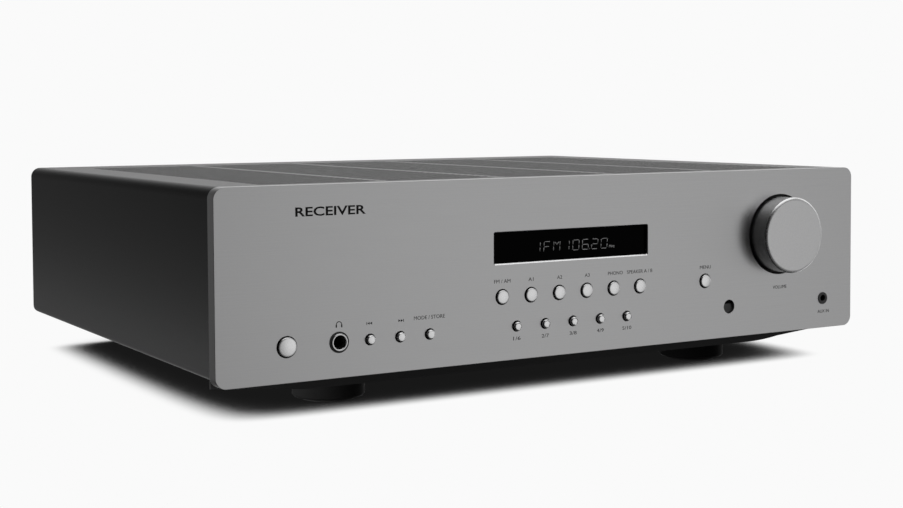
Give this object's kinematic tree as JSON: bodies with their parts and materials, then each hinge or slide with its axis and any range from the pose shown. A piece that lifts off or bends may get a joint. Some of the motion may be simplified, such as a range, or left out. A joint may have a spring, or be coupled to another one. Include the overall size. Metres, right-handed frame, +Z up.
{
  "type": "stereo receiver",
  "caption": "Low full-width stereo receiver with an aluminium front, a display, push buttons, a turning volume knob, a vented steel cover and rear sockets.",
  "frame": {"origin": "centre of the footprint, on the plane that the foot pads stand on", "axes": "+X to the right seen from the front, +Y to the rear (the front panel faces -Y), +Z up"},
  "size_m": [0.43, 0.354, 0.12],
  "materials": {
    "panel": "brushed, clear anodised",
    "moulding": "moulded, satin",
    "acrylic": "polished",
    "tube": "dark glass envelope",
    "chrome": "polished",
    "socket": "moulded",
    "board": "solder mask",
    "switch": "plain",
    "knob": "turned, clear anodised, bright bevel",
    "button": "satin silver",
    "cover": "fine textured powder coat, satin",
    "tray": "black coat",
    "rear": "black coat",
    "foot": "moulded",
    "pad": "matt",
    "screw": "blackened zinc",
    "sink": "extruded",
    "epoxy": "moulded epoxy",
    "sleeve": "shrink sleeve",
    "relay": "moulded",
    "winding": "enamelled copper winding over a steel core",
    "clamp": "zinc plated",
    "can": "tinned",
    "cable": "flat cable",
    "phono": "moulded block with plated shells",
    "aerial": "moulded",
    "terminal": "moulded",
    "post": "gold plated",
    "cap_red": "clear tinted",
    "cap_black": "clear tinted",
    "inlet": "moulded"
  },
  "bodies": {
    "chassis": {"front_panel": "panel", "front_subframe": "moulding", "display_window": "acrylic", "display_module": "tube", "remote_window": "acrylic", "headphone_jack": "chrome", "aux_jack": "socket", "front_board": "board", "tact_switches": "switch", "volume_encoder": "switch", "top_cover": "cover", "chassis_tray": "tray", "rear_panel": "rear", "feet": "foot", "foot_pads": "pad", "case_screws": "screw", "main_board": "board", "heatsink": "sink", "output_transistors": "epoxy", "filter_capacitors": "sleeve", "speaker_relays": "relay", "power_transformer": "winding", "transformer_clamp": "clamp", "tuner_module": "can", "ribbon_cable": "cable", "phono_sockets": "phono", "aerial_terminals": "aerial", "terminal_plate": "terminal", "binding_posts": "post", "mains_inlet": "inlet"},
    "power_button": {"power_button": "button"},
    "source_button_1": {"source_button_1": "button"},
    "source_button_2": {"source_button_2": "button"},
    "source_button_3": {"source_button_3": "button"},
    "source_button_4": {"source_button_4": "button"},
    "source_button_5": {"source_button_5": "button"},
    "source_button_6": {"source_button_6": "button"},
    "preset_button_1": {"preset_button_1": "button"},
    "preset_button_2": {"preset_button_2": "button"},
    "preset_button_3": {"preset_button_3": "button"},
    "preset_button_4": {"preset_button_4": "button"},
    "preset_button_5": {"preset_button_5": "button"},
    "skip_back_button": {"skip_back_button": "button"},
    "skip_forward_button": {"skip_forward_button": "button"},
    "mode_button": {"mode_button": "button"},
    "menu_button": {"menu_button": "button"},
    "volume_knob": {"volume_knob": "knob", "volume_shaft": "clamp"},
    "post_cap_1": {"post_cap_1": "cap_red"},
    "post_cap_2": {"post_cap_2": "cap_black"},
    "post_cap_3": {"post_cap_3": "cap_red"},
    "post_cap_4": {"post_cap_4": "cap_black"},
    "post_cap_5": {"post_cap_5": "cap_red"},
    "post_cap_6": {"post_cap_6": "cap_black"},
    "post_cap_7": {"post_cap_7": "cap_red"},
    "post_cap_8": {"post_cap_8": "cap_black"},
    "ground_nut": {"ground_nut": "clamp"},
    "aerial_lever_1": {"aerial_lever_1": "cap_black"},
    "aerial_lever_2": {"aerial_lever_2": "cap_black"},
    "power_rocker": {"power_rocker": "socket"}
  },
  "joints": [
    {"name": "power_button_press", "type": "slide", "parent": "chassis", "child": "power_button", "axis": [0, 1, 0], "range_m": [0, 0.001], "stiffness_N_per_m": 600, "springref_m": -0.002},
    {"name": "source_button_1_press", "type": "slide", "parent": "chassis", "child": "source_button_1", "axis": [0, 1, 0], "range_m": [0, 0.001], "stiffness_N_per_m": 600, "springref_m": -0.002},
    {"name": "source_button_2_press", "type": "slide", "parent": "chassis", "child": "source_button_2", "axis": [0, 1, 0], "range_m": [0, 0.001], "stiffness_N_per_m": 600, "springref_m": -0.002},
    {"name": "source_button_3_press", "type": "slide", "parent": "chassis", "child": "source_button_3", "axis": [0, 1, 0], "range_m": [0, 0.001], "stiffness_N_per_m": 600, "springref_m": -0.002},
    {"name": "source_button_4_press", "type": "slide", "parent": "chassis", "child": "source_button_4", "axis": [0, 1, 0], "range_m": [0, 0.001], "stiffness_N_per_m": 600, "springref_m": -0.002},
    {"name": "source_button_5_press", "type": "slide", "parent": "chassis", "child": "source_button_5", "axis": [0, 1, 0], "range_m": [0, 0.001], "stiffness_N_per_m": 600, "springref_m": -0.002},
    {"name": "source_button_6_press", "type": "slide", "parent": "chassis", "child": "source_button_6", "axis": [0, 1, 0], "range_m": [0, 0.001], "stiffness_N_per_m": 600, "springref_m": -0.002},
    {"name": "preset_button_1_press", "type": "slide", "parent": "chassis", "child": "preset_button_1", "axis": [0, 1, 0], "range_m": [0, 0.001], "stiffness_N_per_m": 600, "springref_m": -0.002},
    {"name": "preset_button_2_press", "type": "slide", "parent": "chassis", "child": "preset_button_2", "axis": [0, 1, 0], "range_m": [0, 0.001], "stiffness_N_per_m": 600, "springref_m": -0.002},
    {"name": "preset_button_3_press", "type": "slide", "parent": "chassis", "child": "preset_button_3", "axis": [0, 1, 0], "range_m": [0, 0.001], "stiffness_N_per_m": 600, "springref_m": -0.002},
    {"name": "preset_button_4_press", "type": "slide", "parent": "chassis", "child": "preset_button_4", "axis": [0, 1, 0], "range_m": [0, 0.001], "stiffness_N_per_m": 600, "springref_m": -0.002},
    {"name": "preset_button_5_press", "type": "slide", "parent": "chassis", "child": "preset_button_5", "axis": [0, 1, 0], "range_m": [0, 0.001], "stiffness_N_per_m": 600, "springref_m": -0.002},
    {"name": "skip_back_button_press", "type": "slide", "parent": "chassis", "child": "skip_back_button", "axis": [0, 1, 0], "range_m": [0, 0.001], "stiffness_N_per_m": 600, "springref_m": -0.002},
    {"name": "skip_forward_button_press", "type": "slide", "parent": "chassis", "child": "skip_forward_button", "axis": [0, 1, 0], "range_m": [0, 0.001], "stiffness_N_per_m": 600, "springref_m": -0.002},
    {"name": "mode_button_press", "type": "slide", "parent": "chassis", "child": "mode_button", "axis": [0, 1, 0], "range_m": [0, 0.001], "stiffness_N_per_m": 600, "springref_m": -0.002},
    {"name": "menu_button_press", "type": "slide", "parent": "chassis", "child": "menu_button", "axis": [0, 1, 0], "range_m": [0, 0.001], "stiffness_N_per_m": 600, "springref_m": -0.002},
    {"name": "volume_turn", "type": "hinge", "parent": "chassis", "child": "volume_knob", "pos_m": [0.1548, -0.164, 0.0804], "axis": [0, 1, 0], "continuous": true},
    {"name": "post_cap_1_turn", "type": "hinge", "parent": "chassis", "child": "post_cap_1", "pos_m": [-0.11, 0.168, 0.052], "axis": [0, 1, 0], "range_deg": [0, 900]},
    {"name": "post_cap_2_turn", "type": "hinge", "parent": "chassis", "child": "post_cap_2", "pos_m": [-0.091, 0.168, 0.052], "axis": [0, 1, 0], "range_deg": [0, 900]},
    {"name": "post_cap_3_turn", "type": "hinge", "parent": "chassis", "child": "post_cap_3", "pos_m": [-0.058, 0.168, 0.052], "axis": [0, 1, 0], "range_deg": [0, 900]},
    {"name": "post_cap_4_turn", "type": "hinge", "parent": "chassis", "child": "post_cap_4", "pos_m": [-0.039, 0.168, 0.052], "axis": [0, 1, 0], "range_deg": [0, 900]},
    {"name": "post_cap_5_turn", "type": "hinge", "parent": "chassis", "child": "post_cap_5", "pos_m": [-0.11, 0.168, 0.084], "axis": [0, 1, 0], "range_deg": [0, 900]},
    {"name": "post_cap_6_turn", "type": "hinge", "parent": "chassis", "child": "post_cap_6", "pos_m": [-0.091, 0.168, 0.084], "axis": [0, 1, 0], "range_deg": [0, 900]},
    {"name": "post_cap_7_turn", "type": "hinge", "parent": "chassis", "child": "post_cap_7", "pos_m": [-0.058, 0.168, 0.084], "axis": [0, 1, 0], "range_deg": [0, 900]},
    {"name": "post_cap_8_turn", "type": "hinge", "parent": "chassis", "child": "post_cap_8", "pos_m": [-0.039, 0.168, 0.084], "axis": [0, 1, 0], "range_deg": [0, 900]},
    {"name": "ground_nut_turn", "type": "hinge", "parent": "chassis", "child": "ground_nut", "pos_m": [0.012, 0.165, 0.038], "axis": [0, 1, 0], "range_deg": [0, 900]},
    {"name": "aerial_lever_1_open", "type": "hinge", "parent": "chassis", "child": "aerial_lever_1", "pos_m": [0.1545, 0.165, 0.0885], "axis": [-1, 0, 0], "range_deg": [0, 25], "stiffness_Nm_per_rad": 0.02, "springref_deg": -11.46},
    {"name": "aerial_lever_2_open", "type": "hinge", "parent": "chassis", "child": "aerial_lever_2", "pos_m": [0.1655, 0.165, 0.0885], "axis": [-1, 0, 0], "range_deg": [0, 25], "stiffness_Nm_per_rad": 0.02, "springref_deg": -11.46},
    {"name": "power_rocker_tip", "type": "hinge", "parent": "chassis", "child": "power_rocker", "pos_m": [-0.178, 0.156, 0.07], "axis": [1, 0, 0], "range_deg": [0, 20]}
  ]
}
